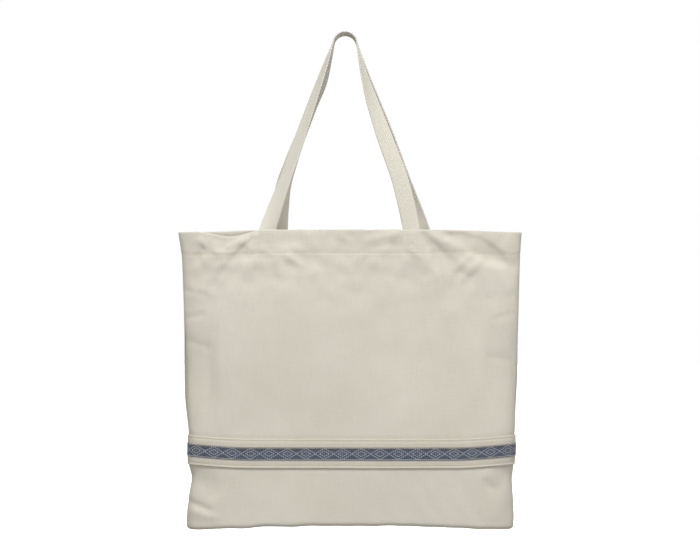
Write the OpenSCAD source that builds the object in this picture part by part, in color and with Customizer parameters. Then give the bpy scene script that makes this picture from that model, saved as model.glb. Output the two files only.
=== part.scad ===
// Canvas tote bag with two webbing handles and a patterned ribbon on a canvas band.
// The origin is the top of the curve that a hook's rod fills where both handles hang on it.
// +Z is up and -Y is the front. All sizes are in millimetres.

/* [Bag] */
// Width of the bag across its mouth
bag_w = 497; // [420:1:560]
// Height of the bag from its base to its rim
bag_h = 430; // [380:1:480]
// Width of the bag across its base
base_w = 470; // [400:1:540]
// Depth of the base from front to back
base_depth = 88; // [70:1:120]
// Depth of the open mouth from front to back
mouth_depth = 40; // [34:1:60]
// Thickness of the canvas
canvas = 1; // [0.6:0.1:1.4]
// Radius of the fold along the base's front and back edges
base_fold = 6; // [3:0.5:10]

/* [Seams] */
// Height of the hem that is turned in round the mouth
hem_h = 34; // [20:1:40]
// Width of the seams' edges, turned to the inside of the bag
seam_w = 10; // [6:1:14]
// How far the overlock thread reaches over a seam's edge
overlock_w = 4; // [3:0.5:6]
// Thickness of the layer of overlock thread
overlock_t = 0.4; // [0.3:0.1:0.8]

/* [Band and ribbon] */
// Height of the band's middle above the base
band_height = 108; // [80:1:200]
// Width of the canvas band
band_w = 42; // [30:1:60]
// Thickness of the canvas band
band_t = 1.2; // [0.8:0.1:2]
// Width of the woven ribbon
ribbon_w = 18; // [10:1:25]
// Thickness of the woven ribbon
ribbon_t = 0.7; // [0.4:0.1:1.2]

/* [Handles] */
// Width of the handle webbing
web_w = 25; // [20:1:30]
// Thickness of the handle webbing
web_t = 2.2; // [1.6:0.1:3]
// Height of the hook above the rim
handle_rise = 285; // [200:1:340]
// Distance between the two legs of a handle at the rim
leg_gap = 208; // [150:1:260]
// How far the leg that is sewn on nearer to the middle bows outwards
leg_bow = 9; // [0:1:15]
// How far the front handle is sewn on left of the middle, and the back one right of it
handle_offset = 8; // [0:1:12]
// How far right of the hook the bag's middle hangs
hang_shift = 7; // [0:1:12]
// Radius of the hook's rod that the handles hang over
hook_r = 16; // [10:0.5:20]
// Length of each handle end that is sewn inside the hem
tail_l = 30; // [15:1:34]
// Gap between the two handles where they hang side by side
handle_apart = 1; // [0.6:0.1:3]

/* [Stitching] */
// Width of a row of stitching
stitch_w = 0.9; // [0.5:0.1:1.5]
// Height of a row of stitching above the cloth
stitch_t = 0.5; // [0.3:0.1:0.8]
// Distance from an edge to the row of stitching along it
edge_margin = 2.5; // [1.5:0.5:5]

/* [Hidden] */

canvas_color = [0.84, 0.81, 0.74];
webbing_color = [0.86, 0.84, 0.78];
band_color = [0.86, 0.83, 0.76];
ribbon_color = [0.30, 0.33, 0.42];
thread_color = [0.90, 0.88, 0.82];

// Clearance between pieces of cloth that lie on each other
lie_gap = 0.2;
// Clearance between the handle ends and the handles that swing on them
swing_gap = 0.3;
// How square the bag's outline is, seen from above: 2 is an ellipse
mouth_square = 3;
base_square = 4;
// How the bag's depth grows from its mouth to its base: 1 is a straight wedge
depth_curve = 1.2;
// How quickly the webbing turns edge-on from the rim up: 1 turns it evenly
twist_curve = 1.25;
// Share of a leg, at its foot, where the webbing squares up to the rim
foot_share = 0.15;
// How low on the leg its bow is widest: 1 is halfway, and more is lower
bow_curve = 2.1;

// Columns of points across a panel, rings along a handle's leg and round its arch
cols = 36;
leg_rings = 14;
arch_rings = 10;
fold_rings = 3;

rim_z = -handle_rise;
base_z = rim_z - bag_h;
hem_z = rim_z - hem_h;
band_z = base_z + band_height;
band_lo = band_z - band_w / 2;
band_hi = band_z + band_w / 2;
arch_r = hook_r + web_t / 2;
// The sewn ends stay inside the hem, above its row of stitching
tail = min(tail_l, hem_h - edge_margin - stitch_w);

// The panel's levels, from the rim down to where the fold at the base starts
wall_levels = [
    rim_z, hem_z,
    lerp(hem_z, band_hi, 0.2), lerp(hem_z, band_hi, 0.4),
    lerp(hem_z, band_hi, 0.6), lerp(hem_z, band_hi, 0.8),
    band_hi, band_z, band_lo,
    lerp(band_lo, base_z + base_fold, 0.5), base_z + base_fold
];

// The handles' feet, left and right, in the front handle's own place, with the hook at X = 0
leg_x = [-leg_gap / 2 - handle_offset, leg_gap / 2 - handle_offset];
// The feet's outermost edge, from the bag's middle
foot_reach = leg_gap / 2 + handle_offset + hang_shift + web_w / 2;
// The webbing stands inside the hem, at the depth where its outermost edge still clears it
web_y = wall_d(foot_reach, rim_z) - 2 * canvas - lie_gap - web_t / 2;

function lerp(a, b, t) = a + (b - a) * t;
function flatten(lists) = [for (l = lists) each l];
function smooth(t) = let (c = max(0, min(1, t))) c * c * (3 - 2 * c);

// Share of the bag's height at level z: 0 at the base and 1 at the rim
function share(z) = max(0, (z - base_z) / bag_h);
function half_w(z) = lerp(base_w, bag_w, share(z)) / 2;
function half_d(z) = lerp(base_depth, mouth_depth, pow(share(z), depth_curve)) / 2;
function square_at(z) = lerp(base_square, mouth_square, share(z));

// Distance of the bag's outer surface from its middle plane, at x and level z
function wall_d(x, z) =
    let (n = square_at(z))
    half_d(z) * pow(max(0, 1 - pow(abs(x) / half_w(z), n)), 1 / n);

// The front half of the bag's outline at level z, from the left side seam to the right one
function outline(z) = [
    for (i = [0:cols])
        let (x = half_w(z) * sin(-90 + 180 * i / cols))
        [x, -wall_d(x, z)]
];

// The same outline, moved outwards by out
function outline_out(z, out) =
    let (s = outline(z))
    [for (i = [0:cols])
        let (
            t = s[min(cols, i + 1)] - s[max(0, i - 1)],
            n = i == 0 ? [-1, 0] : i == cols ? [1, 0] : [t.y, -t.x] / norm(t)
        )
        [s[i].x + out * n.x, s[i].y + out * n.y, z]
    ];

// A row of panel points from [outline level, height of the row, distance outwards]
function panel_row(r) = [for (p = outline_out(r[0], r[2])) [p.x, p.y, r[1]]];

fold_outer = [
    for (k = [1:fold_rings])
        let (a = 90 * k / fold_rings)
        [base_z + base_fold, base_z + base_fold * (1 - sin(a)), -base_fold * (1 - cos(a))]
];
fold_inner = [
    for (k = [1:fold_rings])
        let (a = 90 * k / fold_rings, r = base_fold - canvas)
        [base_z + base_fold, base_z + base_fold - r * sin(a), r * cos(a) - base_fold]
];
outer_rows = concat([for (z = wall_levels) [z, z, 0]], fold_outer);
// The inner surface is two layers deep down to the hem's edge, and one below it
inner_rows = concat(
    [for (z = [rim_z, hem_z]) [z, z, -2 * canvas]],
    [for (z = wall_levels) if (z <= hem_z) [z, z, -canvas]],
    fold_inner
);

// Triangles of a grid of rows and columns of points, starting at point first
function grid_faces(rows, first) = [
    for (r = [0:rows - 2], c = [0:cols - 1])
        let (a = first + r * (cols + 1) + c, b = a + cols + 1)
        each [[a, a + 1, b + 1], [a, b + 1, b]]
];
function reversed(faces) = [for (f = faces) [for (k = [len(f) - 1:-1:0]) f[k]]];

// One panel's cloth: the wall with its turned-in hem, the fold, and its half of the base
module panel_cloth() {
    rows_o = len(outer_rows);
    rows_i = len(inner_rows);
    w = cols + 1;
    inner_0 = rows_o * w;
    points = concat(
        flatten([for (r = outer_rows) panel_row(r)]),
        flatten([for (r = inner_rows) panel_row(r)])
    );
    base_o = [for (c = [0:cols]) (rows_o - 1) * w + c];
    base_i = [for (c = [0:cols]) inner_0 + (rows_i - 1) * w + c];
    left = concat(
        [for (r = [0:rows_o - 1]) r * w],
        [for (r = [rows_i - 1:-1:0]) inner_0 + r * w]
    );
    right = [for (k = left) k + cols];
    rim = [
        for (c = [0:cols - 1])
            each [[c + 1, c, inner_0 + c], [c + 1, inner_0 + c, inner_0 + c + 1]]
    ];
    faces = concat(
        grid_faces(rows_o, 0),
        reversed(grid_faces(rows_i, inner_0)),
        [base_o],
        reversed([base_i]),
        [left],
        reversed([right]),
        rim,
        [[base_o[cols], base_o[0], base_i[0], base_i[cols]]]
    );
    polyhedron(points, faces, convexity = 10);
}

module panel() {
    color(canvas_color) panel_cloth();
}

// The two panels' edges, turned inside and sewn together, a little clear of the bag's wall
seam_t = 2 * canvas;
seam_clear = canvas + 2 * lie_gap;
seam_floor = base_z + canvas + lie_gap;
side_seam_lo = base_z + base_fold;
side_seam_hi = hem_z - lie_gap;

module side_seam() {
    low = half_w(side_seam_lo) - seam_clear;
    high = half_w(side_seam_hi) - seam_clear;
    color(canvas_color)
        rotate([90, 0, 0])
            linear_extrude(seam_t, center = true)
                polygon([
                    [low - seam_w, side_seam_lo], [low, side_seam_lo],
                    [high, side_seam_hi], [high - seam_w, side_seam_hi]
                ]);
}

// The seam across a boxed corner: its place, and its reach from the middle plane
corner_x = base_w / 2 - base_fold - seam_w;
corner_y = wall_d(corner_x + canvas + base_fold, base_z) - base_fold - canvas;
// The bottom seam stops clear of the corner seams and of the thread on them
bottom_x = corner_x - canvas - 2 * lie_gap - overlock_t;

module bottom_seam() {
    color(canvas_color)
        translate([-bottom_x, -seam_t / 2, seam_floor])
            cube([2 * bottom_x, seam_t, seam_w]);
}

module corner_seam() {
    color(canvas_color)
        translate([corner_x - seam_t / 2, -corner_y, seam_floor])
            cube([seam_t, 2 * corner_y, seam_w]);
}

// A solid through equal loops of points, closed at both ends
module skin(loops) {
    n = len(loops[0]);
    m = len(loops);
    points = flatten(loops);
    sides = [
        for (k = [0:m - 2], j = [0:n - 1])
            let (a = k * n + j, b = k * n + (j + 1) % n)
            each [[a, b, b + n], [a, b + n, a + n]]
    ];
    ends = [[for (j = [n - 1:-1:0]) j], [for (j = [0:n - 1]) (m - 1) * n + j]];
    polyhedron(points, concat(sides, ends), convexity = 10);
}

// A strip of cloth or thread on the front panel, from low to high, from depth out to out + t
module strip(low, high, out, t) {
    rows = [
        outline_out(high, out), outline_out(high, out + t),
        outline_out(low, out + t), outline_out(low, out)
    ];
    skin([for (c = [0:cols]) [for (r = rows) r[c]]]);
}

module band() {
    color(band_color) strip(band_lo, band_hi, lie_gap, band_t);
}

module ribbon() {
    color(ribbon_color)
        strip(band_z - ribbon_w / 2, band_z + ribbon_w / 2, band_t + 2 * lie_gap, ribbon_t);
}

module stitch_row(z, out) {
    strip(z - stitch_w / 2, z + stitch_w / 2, out, stitch_t);
}

module hem_stitching() {
    color(thread_color) stitch_row(hem_z + edge_margin, lie_gap);
}

module band_stitching() {
    color(thread_color)
        for (z = [band_lo + edge_margin, band_hi - edge_margin])
            stitch_row(z, band_t + 2 * lie_gap);
}

// The ribbon is sewn down one stitch inside each edge
module ribbon_stitching() {
    color(thread_color)
        for (side = [-1, 1])
            stitch_row(band_z + side * (ribbon_w / 2 - stitch_w), band_t + ribbon_t + 3 * lie_gap);
}

// The arch of a handle, seen from the front, round the hook's rod
arch_c = [0, -hook_r];
function foot(side) = [leg_x[side], rim_z + swing_gap];
// Angle, round the rod, at which a leg leaves the arch: side 0 is the left leg and 1 the right
function leg_angle(side) =
    let (v = foot(side) - arch_c, open = acos(arch_r / norm(v)), b = atan2(v.y, v.x))
    side == 0 ? b - open + 360 : b + open;
function on_arch(a) = arch_c + arch_r * [cos(a), sin(a)];

// One loop of the webbing at point p, share u down the leg, facing angle a at the arch
function web_loop(p, u, a, a_foot) =
    let (
        turn = 90 * (1 - pow(u, twist_curve)),
        b = lerp(a, a_foot, smooth((u - 1 + foot_share) / foot_share)),
        out = [cos(b), 0, sin(b)],
        wide = out * cos(turn) + [0, sin(turn), 0],
        face = out * sin(turn) - [0, cos(turn), 0],
        middle = [p.x, -lerp((web_w + handle_apart) / 2, web_y, u), p.y]
    )
    [for (k = [[1, 1], [1, -1], [-1, -1], [-1, 1]])
        middle + wide * k.x * web_w / 2 + face * k.y * web_t / 2
    ];

function bow(side, u) = side * leg_bow * sin(180 * pow(u, bow_curve));
function leg_loops(side) = [
    for (k = [0:leg_rings])
        let (
            u = k / leg_rings,
            a = leg_angle(side),
            p = lerp(on_arch(a), foot(side), u) + [bow(side, u), 0]
        )
        web_loop(p, u, a, side == 0 ? 180 : 0)
];
function arch_loops() = [
    for (k = [1:arch_rings - 1])
        let (a = lerp(leg_angle(0), leg_angle(1), k / arch_rings))
        web_loop(on_arch(a), 0, a, 0)
];

// Leg loops run from the arch to the foot; the left leg and the right leg face opposite ways
module handle() {
    left = leg_loops(0);
    right = leg_loops(1);
    color(webbing_color)
        skin(concat([for (k = [leg_rings:-1:0]) left[k]], arch_loops(), right));
}

// The sewn end of a handle's leg, inside the hem
module handle_end(side) {
    color(webbing_color)
        translate([leg_x[side] - web_w / 2, -web_y - web_t / 2, rim_z - tail])
            cube([web_w, web_t, tail]);
}

// A square of stitching with a cross in it, drawn flat in X and Z
module crossed_box(side) {
    half = side / 2;
    reach = sqrt(2) * side;
    for (k = [-1, 1]) {
        translate([-half, 0, k * (half - stitch_w / 2) - stitch_w / 2])
            cube([side, stitch_t, stitch_w]);
        translate([k * (half - stitch_w / 2) - stitch_w / 2, 0, -half])
            cube([stitch_w, stitch_t, side]);
        rotate([0, k * 45, 0])
            translate([-reach / 2 + stitch_w, 0, -stitch_w / 2])
                cube([reach - 2 * stitch_w, stitch_t, stitch_w]);
    }
}

// The stitching that holds a handle's end, on the outside of a hem whose middle is at X = middle
module box_stitching(side, middle) {
    box = min(web_w, tail) - 2 * edge_margin;
    x = leg_x[side];
    z = rim_z - tail / 2;
    d = max([
        for (k = [-1, 1], j = [-1, 1]) wall_d(x - middle + k * box / 2, z + j * box / 2)
    ]);
    lean = atan2(wall_d(x - middle, z - 1) - wall_d(x - middle, z + 1), 2);
    color(thread_color)
        translate([x, -d - lie_gap, z])
            rotate([-lean, 0, 0])
                translate([0, -stitch_t, 0])
                    crossed_box(box);
}

// Overlock thread wrapped over the free edge of a seam: a channel along X, open downwards,
// with the seam's free edge at the origin's height
module overlock(length) {
    wide = seam_t + 2 * lie_gap;
    color(thread_color)
        translate([0, -wide / 2 - overlock_t, -overlock_w])
            difference() {
                cube([length, wide + 2 * overlock_t, overlock_w + lie_gap + overlock_t]);
                translate([-1, overlock_t, -1])
                    cube([length + 2, wide, overlock_w + lie_gap + 1]);
            }
}

side_lean = atan2((bag_w - base_w) / 2, bag_h);
// The overlock on each seam starts and stops a little short of its ends
overlock_short = 1;

module side_overlock() {
    low = side_seam_lo + overlock_short;
    length = (side_seam_hi - overlock_short - low) / cos(side_lean);
    translate([half_w(low) - seam_clear - seam_w, 0, low])
        rotate([0, side_lean - 90, 0])
            overlock(length);
}

module bottom_overlock() {
    reach = bottom_x - overlock_short;
    translate([-reach, 0, seam_floor + seam_w])
        overlock(2 * reach);
}

module corner_overlock() {
    reach = corner_y - overlock_short;
    translate([corner_x, -reach, seam_floor + seam_w])
        rotate([0, 0, 90])
            overlock(2 * reach);
}

module to_back() {
    mirror([0, 1, 0]) mirror([1, 0, 0]) children();
}

module to_left() {
    mirror([1, 0, 0]) children();
}

module hung() {
    translate([hang_shift, 0, 0]) children();
}

hung() panel();  // front_panel
hung() to_back() panel();  // back_panel
hung() to_left() side_seam();  // left_side_seam
hung() side_seam();  // right_side_seam
hung() bottom_seam();
hung() to_left() corner_seam();  // left_corner_seam
hung() corner_seam();  // right_corner_seam
hung() band();  // front_band
hung() to_back() band();  // back_band
hung() ribbon();  // front_ribbon
hung() to_back() ribbon();  // back_ribbon
handle();  // front_handle
to_back() handle();  // back_handle
handle_end(0);  // front_left_handle_end
handle_end(1);  // front_right_handle_end
to_back() handle_end(1);  // back_left_handle_end
to_back() handle_end(0);  // back_right_handle_end
hung() to_left() side_overlock();  // left_side_overlock
hung() side_overlock();  // right_side_overlock
hung() bottom_overlock();
hung() to_left() corner_overlock();  // left_corner_overlock
hung() corner_overlock();  // right_corner_overlock
hung() hem_stitching();  // front_hem_stitching
hung() to_back() hem_stitching();  // back_hem_stitching
hung() band_stitching();  // front_band_stitching
hung() to_back() band_stitching();  // back_band_stitching
hung() ribbon_stitching();  // front_ribbon_stitching
hung() to_back() ribbon_stitching();  // back_ribbon_stitching
box_stitching(0, hang_shift);  // front_left_box_stitching
box_stitching(1, hang_shift);  // front_right_box_stitching
to_back() box_stitching(1, -hang_shift);  // back_left_box_stitching
to_back() box_stitching(0, -hang_shift);  // back_right_box_stitching
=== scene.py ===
"""Canvas tote bag hanging by its two webbing handles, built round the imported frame."""

import math

import bpy
import numpy as np
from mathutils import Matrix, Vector


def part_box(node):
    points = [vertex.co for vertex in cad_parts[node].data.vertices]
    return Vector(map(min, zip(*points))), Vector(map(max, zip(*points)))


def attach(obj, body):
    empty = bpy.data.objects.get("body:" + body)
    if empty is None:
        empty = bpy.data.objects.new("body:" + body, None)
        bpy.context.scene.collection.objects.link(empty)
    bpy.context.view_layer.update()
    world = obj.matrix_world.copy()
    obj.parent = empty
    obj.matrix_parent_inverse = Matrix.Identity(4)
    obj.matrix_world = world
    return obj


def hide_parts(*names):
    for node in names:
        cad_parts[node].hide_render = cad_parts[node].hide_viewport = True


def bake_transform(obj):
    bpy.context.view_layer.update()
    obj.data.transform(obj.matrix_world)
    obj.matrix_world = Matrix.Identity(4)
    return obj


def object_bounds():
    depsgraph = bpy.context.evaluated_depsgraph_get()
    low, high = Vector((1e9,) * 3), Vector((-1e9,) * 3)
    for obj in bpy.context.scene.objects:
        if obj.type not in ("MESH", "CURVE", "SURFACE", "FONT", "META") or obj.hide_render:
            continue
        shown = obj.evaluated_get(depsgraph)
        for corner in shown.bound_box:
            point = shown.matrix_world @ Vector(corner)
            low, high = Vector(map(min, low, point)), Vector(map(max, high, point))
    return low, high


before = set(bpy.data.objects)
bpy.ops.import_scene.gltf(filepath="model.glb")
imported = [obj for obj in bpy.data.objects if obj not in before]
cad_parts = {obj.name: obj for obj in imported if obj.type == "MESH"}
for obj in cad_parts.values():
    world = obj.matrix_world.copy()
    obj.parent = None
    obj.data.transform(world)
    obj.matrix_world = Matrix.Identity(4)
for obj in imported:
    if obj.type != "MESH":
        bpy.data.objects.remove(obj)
CAD_LOW, CAD_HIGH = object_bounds()
MM = 0.001

# ---------------------------------------------------------------- the frame's own measures

PANEL_LOW, PANEL_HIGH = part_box("front_panel")
MIDDLE_X = (PANEL_LOW.x + PANEL_HIGH.x) / 2
RIM_Z = PANEL_HIGH.z
BASE_Z = PANEL_LOW.z
BAG_H = RIM_Z - BASE_Z
RIM_HALF_W = (PANEL_HIGH.x - PANEL_LOW.x) / 2
BASE_HALF_D = -PANEL_LOW.y
PANEL_POINTS = np.array([v.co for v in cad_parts["front_panel"].data.vertices])
MOUTH_HALF_D = -PANEL_POINTS[PANEL_POINTS[:, 2] > RIM_Z - MM, 1].min()

HEM_H = RIM_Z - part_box("front_hem_stitching")[0].z + 2 * MM
BAND_LOW, BAND_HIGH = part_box("front_band")
RIBBON_LOW, RIBBON_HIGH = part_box("front_ribbon")
HANDLE_LOW, HANDLE_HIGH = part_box("front_handle")
END_LOW, END_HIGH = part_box("front_left_handle_end")
OTHER_END_LOW, OTHER_END_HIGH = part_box("front_right_handle_end")

CANVAS = 1.0 * MM
LAY = 0.2 * MM  # clearance between layers that lie on each other
FOLD_R = 6 * MM  # radius of the fold along the base's front and back edges
STITCH_IN = 2.5 * MM  # from an edge to the stitching along it
RIBBON_STITCH_IN = 1.0 * MM  # the same for the ribbon's edges
SEAM_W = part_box("bottom_seam")[1].z - BASE_Z - CANVAS

WEB_W = END_HIGH.x - END_LOW.x
WEB_T = END_HIGH.y - END_LOW.y
WEB_Y = -(END_HIGH.y + END_LOW.y) / 2
TAIL_L = END_HIGH.z - END_LOW.z
LEG_X = ((END_LOW.x + END_HIGH.x) / 2, (OTHER_END_LOW.x + OTHER_END_HIGH.x) / 2)
ARCH_Y = (HANDLE_HIGH.y + HANDLE_LOW.y) / 2


def smooth(t):
    t = np.clip(t, 0, 1)
    return t * t * (3 - 2 * t)


def hump(x, centre, width):
    """1 at the centre, falling smoothly to 0 at a width to each side."""
    return smooth(1 - np.abs(x - centre) / width)


# ---------------------------------------------------------------- meshes

def mesh_object(name, points, faces, cloth=None):
    """A mesh object. cloth holds each point's place on its flat cloth, in metres, for its material."""
    mesh = bpy.data.meshes.new(name)
    mesh.from_pydata([tuple(p) for p in points], [], [tuple(f) for f in faces])
    if cloth is not None:
        flat = np.zeros((len(points), 3), np.float32)
        flat[:, : cloth.shape[1]] = cloth
        layer = mesh.attributes.new("cloth", "FLOAT_VECTOR", "POINT")
        layer.data.foreach_set("vector", flat.ravel())
    mesh.polygons.foreach_set("use_smooth", [True] * len(mesh.polygons))
    mesh.update()
    obj = bpy.data.objects.new(name, mesh)
    bpy.context.scene.collection.objects.link(obj)
    return obj


def grid_normals(grid):
    """Unit normals of a grid of points, rows by columns."""
    down = np.gradient(grid, axis=0)
    across = np.gradient(grid, axis=1)
    n = np.cross(down, across)
    return n / np.maximum(np.linalg.norm(n, axis=2, keepdims=True), 1e-12)


def slab(name, grid, normals, thickness, cloth):
    """A closed sheet of some thickness about a grid of middle points."""
    rows, cols = grid.shape[:2]
    count = rows * cols
    half = normals * (np.asarray(thickness) / 2)
    points = np.concatenate([(grid + half).reshape(-1, 3), (grid - half).reshape(-1, 3)])
    index = np.arange(count).reshape(rows, cols)
    a, b = index[:-1, :-1].ravel(), index[:-1, 1:].ravel()
    c, d = index[1:, 1:].ravel(), index[1:, :-1].ravel()
    outside = np.stack([a, d, c, b], 1)
    inside = np.stack([a, b, c, d], 1) + count
    ring = np.concatenate([index[0, :-1], index[:-1, -1], index[-1, :0:-1], index[:0:-1, 0]])
    after = np.roll(ring, -1)
    edge = np.stack([ring, after, after + count, ring + count], 1)
    faces = np.concatenate([outside, inside, edge])
    flat = np.concatenate([cloth.reshape(count, -1)] * 2)
    return mesh_object(name, points, faces.tolist(), flat)


def tubes(name, lines, normals, radius, sides=6):
    """Closed tubes along equal polylines, an array of lines by points by 3, as one mesh."""
    count, steps = lines.shape[:2]
    along = np.gradient(lines, axis=1)
    along /= np.maximum(np.linalg.norm(along, axis=2, keepdims=True), 1e-12)
    side = np.cross(along, normals)
    side /= np.maximum(np.linalg.norm(side, axis=2, keepdims=True), 1e-12)
    up = np.cross(side, along)
    turn = np.arange(sides) * 2 * math.pi / sides
    wide = np.broadcast_to(np.asarray(radius, float), (count, steps))[..., None, None]
    ring = up[:, :, None] * np.cos(turn)[:, None] + side[:, :, None] * np.sin(turn)[:, None]
    points = lines[:, :, None] + wide * ring
    index = np.arange(count * steps * sides).reshape(count, steps, sides)
    a, b = index[:, :-1], np.roll(index[:, :-1], -1, axis=2)
    c, d = np.roll(index[:, 1:], -1, axis=2), index[:, 1:]
    walls = np.stack([a, b, c, d], -1).reshape(-1, 4).tolist()
    caps = index[:, 0, ::-1].tolist() + index[:, -1].tolist()
    return mesh_object(name, points.reshape(-1, 3), walls + caps)


# ---------------------------------------------------------------- the bag's cloth

COLS = 211
WALL_ROWS = 172
HEM_ROWS = 12
SQUARE_RIM, SQUARE_BASE = 3.0, 4.0
DEPTH_CURVE = 1.2

# Half width of the hanging bag left and right of its middle, at drops below its rim, in millimetres:
# the sides draw in under the hem, at the band and at the gusset's fold, and spread to the corners
SIDE_DROP = [0, 12, 36, 90, 150, 215, 250, 290, 318, 330, 345, 358, 372, 395, 415, 430]
LEFT_HALF_W = [
    249, 246.5, 243.5, 241.5, 240, 240, 239, 234.5,
    233, 233.5, 233.5, 229.5, 230.5, 234.5, 236, 235.5,
]
RIGHT_HALF_W = [
    249, 247.5, 246.5, 245, 243.5, 242.5, 240.5, 239,
    237.5, 237.5, 236.5, 234.5, 234.5, 236.5, 237.5, 235.5,
]


def side_half_w(drop, widths):
    """Half width at a drop below the rim, both in metres, as a smooth curve through a list."""
    d = np.clip(np.asarray(drop) / MM, 0, SIDE_DROP[-1])
    spread = [-9, -6, -3, 0, 3, 6, 9]
    return sum(np.interp(d + k, SIDE_DROP, widths) for k in spread) / len(spread) * MM


def waves(x, y, length, seed, stretch=1.0):
    """Smooth noise of about unit size: plane waves of about one length in all directions."""
    r = np.random.default_rng(seed)
    total = np.zeros(np.broadcast(x, y).shape)
    for _ in range(14):
        a, phase = r.random(2) * 2 * math.pi
        k = 2 * math.pi / (length * (0.7 + 0.6 * r.random()))
        total += np.sin(k * (x * math.cos(a) + y * math.sin(a) * stretch) + phase)
    return total / math.sqrt(7)


def crease(x, drop, start, end, width, depth):
    """A fold line between two places on the panel, (x, drop) in millimetres, fading at its ends."""
    ax, ad = start[0] * MM, start[1] * MM
    bx, bd = end[0] * MM, end[1] * MM
    length = math.hypot(bx - ax, bd - ad)
    t = ((x - ax) * (bx - ax) + (drop - ad) * (bd - ad)) / length**2
    off = ((x - ax) * (bd - ad) - (drop - ad) * (bx - ax)) / length / (width * MM)
    ends = smooth(t * 3 + 0.5) * smooth((1 - t) * 3 + 0.5)
    return depth * MM * np.exp(-off * off) * ends


# Folds on the front panel: start and end as (x, drop), half width and depth, in millimetres.
# A positive depth stands out and a negative one goes in.
FRONT_CREASES = [
    ((-218, 8), (-198, 28), 6, 1.1),
    ((-192, 4), (-172, 34), 8, -0.3),
    ((-230, 26), (-205, 60), 8, -0.7),
    ((-158, 6), (-138, 30), 6, 1.1),
    ((-130, 26), (-108, 36), 5, 0.6),
    ((-92, 36), (-66, 52), 4.5, 1.0),
    ((-98, 42), (-74, 62), 5, -0.4),
    ((-86, 22), (-60, 34), 5, 0.7),
    ((-20, 6), (6, 18), 5, 0.7),
    ((22, 14), (76, 2), 5.5, 1.2),
    ((30, 26), (66, 18), 5, -0.7),
    ((24, 34), (2, 46), 5, 0.6),
    ((84, 26), (104, 40), 4.5, 0.9),
    ((118, 8), (140, 18), 6, 0.8),
    ((190, 38), (160, 72), 5.5, 1.1),
    ((176, 34), (150, 58), 4.5, 0.9),
    ((184, 56), (162, 84), 6, -0.4),
    ((132, 62), (108, 76), 6, 0.6),
    ((205, 36), (240, 52), 8, -1.3),
    ((214, 60), (236, 84), 8, 0.9),
    ((-240, 84), (-206, 92), 5, -0.7),
    ((-240, 126), (-210, 120), 5, -0.8),
    ((-238, 158), (-200, 170), 6, -0.7),
    ((236, 118), (206, 128), 6, -0.7),
    ((236, 190), (200, 180), 6, -0.6),
    ((-228, 352), (-190, 382), 16, -2.2),
    ((-232, 392), (-200, 404), 5, -2.0),
    ((-226, 404), (-190, 414), 7, 1.2),
    ((228, 352), (200, 374), 13, -1.6),
    ((214, 366), (190, 352), 9, 1.2),
    ((230, 396), (212, 424), 8, -0.5),
    ((-262, 205), (-196, 205), 55, -5.0),
    ((262, 205), (196, 205), 55, -3.5),
]
BACK_CREASES = [
    ((-225, 10), (-196, 44), 10, 1.4),
    ((-170, 4), (-150, 38), 10, -1.3),
    ((-84, 24), (-50, 50), 8, -1.0),
    ((36, 8), (64, 26), 10, 1.0),
    ((110, 28), (160, 52), 9, -1.1),
    ((196, 12), (228, 48), 9, 1.3),
    ((-238, 140), (-204, 150), 6, -0.8),
    ((236, 160), (202, 150), 6, -0.7),
    ((-228, 354), (-196, 378), 14, -2.2),
    ((228, 352), (196, 380), 14, -2.2),
    ((-230, 396), (-204, 410), 6, -1.4),
    ((230, 398), (206, 412), 6, -1.4),
]


def drape(x, drop, front):
    """How the hanging cloth departs from the CAD shape: outwards and upwards, in metres, at x from
    the bag's middle and a drop below the rim, in the panel's own view."""
    edge = np.abs(x) / RIM_HALF_W
    seam = 1 - smooth((edge - 0.9) / 0.08)
    share = drop / BAG_H
    held = sum(hump(x + MIDDLE_X * (1 if front else -1), foot, 0.03) for foot in LEG_X)
    held = np.clip(held, 0, 1) * (1 - smooth(drop / 0.05))
    out = 1.0 * MM * waves(x, drop, 0.2, 11 if front else 21, 0.5)
    hem = 1 - smooth((drop - 0.04) / 0.1)
    out += (0.08 + 0.42 * hem) * MM * waves(x, drop, 0.055, 12 if front else 22, 1.2)
    out += 0.28 * MM * hem * waves(x, drop, 0.026, 13 if front else 23, 1.0)
    out *= seam * (1 - held)
    for start, end, width, depth in FRONT_CREASES if front else BACK_CREASES:
        out += crease(x, drop, start, end, width, depth) * (1 - smooth((edge - 0.95) / 0.04))
    # The hem's inner layer shows as a low step, and its stitching as a groove
    out += 0.35 * MM * (1 - smooth((drop - HEM_H) / (3 * MM)))
    out -= 0.7 * MM * np.exp(-(((drop - HEM_H + STITCH_IN) / (2.0 * MM)) ** 2))
    # The band's top row of stitches draws the cloth in along its edge
    out -= 0.6 * MM * np.exp(-(((drop - RIM_Z + BAND_HIGH.z) / (3.4 * MM)) ** 2))
    # The rim's ends droop, the band's ends ride up and the base is drawn up in the middle
    up = -3.4 * MM * smooth((edge - 0.5) / 0.5) * (1 - smooth(drop / 0.2))
    up += (1.7 + 5.0 * smooth((edge - 0.55) / 0.45) ** 1.5) * MM * hump(drop, 0.323, 0.13)
    up += 6.0 * MM * (1 - smooth((edge - 0.25) / 0.65)) * smooth((share - 0.8) / 0.2)
    up -= 2.4 * MM * smooth((edge - 0.75) / 0.25) * smooth((share - 0.85) / 0.15)
    up += 0.5 * MM * waves(x, 0 * x, 0.05, 31) * smooth((share - 0.94) / 0.06) * seam
    # The front rim sags open beside the left handle
    dip = hump(x, -0.172, 0.05) if front else 0
    up -= 9.0 * MM * dip * (1 - smooth(drop / 0.05))
    out += 2.5 * MM * dip * (1 - smooth(drop / 0.06))
    return out, up


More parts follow.
